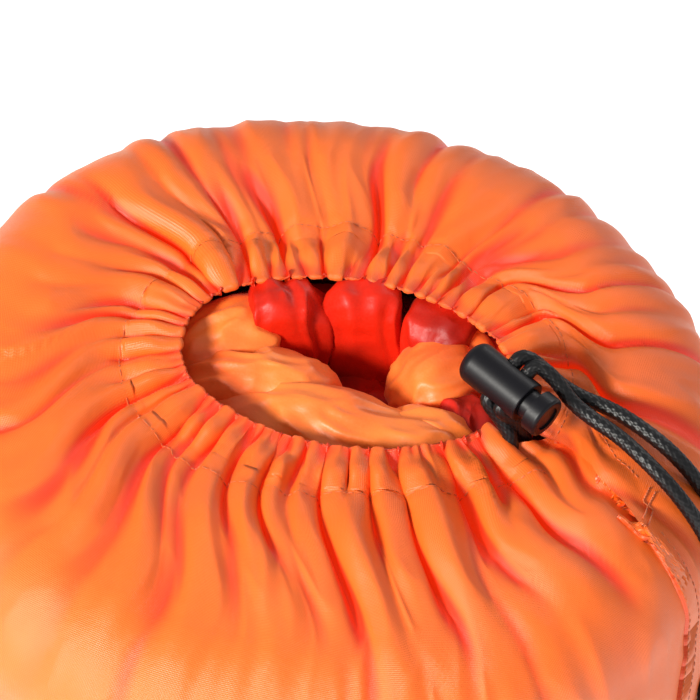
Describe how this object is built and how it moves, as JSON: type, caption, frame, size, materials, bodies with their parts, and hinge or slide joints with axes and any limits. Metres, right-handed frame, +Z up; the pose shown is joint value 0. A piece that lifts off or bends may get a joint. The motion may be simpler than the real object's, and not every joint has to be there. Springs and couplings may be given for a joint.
{
  "type": "stuff sack",
  "caption": "Soft round stuff sack packed with a sleeping bag, its gathered mouth cinched by a drawcord that runs through a sprung cord lock and ends in a knot.",
  "frame": {"origin": "on the floor under the middle of the sack", "axes": "+Z up along the sack, -Y towards the front, to which the mouth leans, +X to the right, where the cord lock and the tails are"},
  "size_m": [0.2252, 0.2133, 0.3637],
  "materials": {
    "sack_cloth": "thin plain-weave polyester taffeta with a soft satin sheen, orange",
    "binding_tape": "woven polyester tape, orange",
    "thread": "spun polyester sewing thread, orange",
    "cord": "braided polyester cord, black",
    "lock_plastic": "moulded acetal, black, satin",
    "spring_steel": "bright drawn spring wire",
    "sleeping_bag_cloth": "soft polyester shell cloth of the sleeping bag, orange"
  },
  "bodies": {
    "sack": {"sack_body": "sack_cloth", "base_panel": "sack_cloth", "base_seam_binding": "binding_tape", "base_seam_stitching": "thread", "drawcord_casing": "sack_cloth", "casing_stitching": "thread", "side_seam_fell": "sack_cloth", "side_seam_stitching": "thread", "slit_hem_front": "sack_cloth", "slit_hem_back": "sack_cloth", "slit_stitching": "thread", "slit_bartack": "thread", "drawcord": "cord", "drawcord_tail_back": "cord", "drawcord_tail_front": "cord", "drawcord_knot": "cord", "drawcord_cut_ends": "cord", "sleeping_bag_filling": "sleeping_bag_cloth", "sleeping_bag_fold_left": "sleeping_bag_cloth", "sleeping_bag_fold_front": "sleeping_bag_cloth", "sleeping_bag_fold_right": "sleeping_bag_cloth"},
    "cord_lock": {"cord_lock_barrel": "lock_plastic", "cord_lock_spring": "spring_steel"},
    "plunger": {"cord_lock_plunger": "lock_plastic"}
  },
  "joints": [
    {"name": "lock_slide", "type": "slide", "parent": "sack", "child": "cord_lock", "axis": [0.6194, 0.4873, 0.6156], "range_m": [0, 0.012], "deforming": ["drawcord_tail_back", "drawcord_tail_front"]},
    {"name": "plunger_press", "type": "slide", "parent": "cord_lock", "child": "plunger", "axis": [-0.7286, 0.6488, 0.2196], "range_m": [0, 0.0026], "stiffness_N_per_m": 900, "springref_m": -0.002, "deforming": ["cord_lock_spring"]}
  ]
}
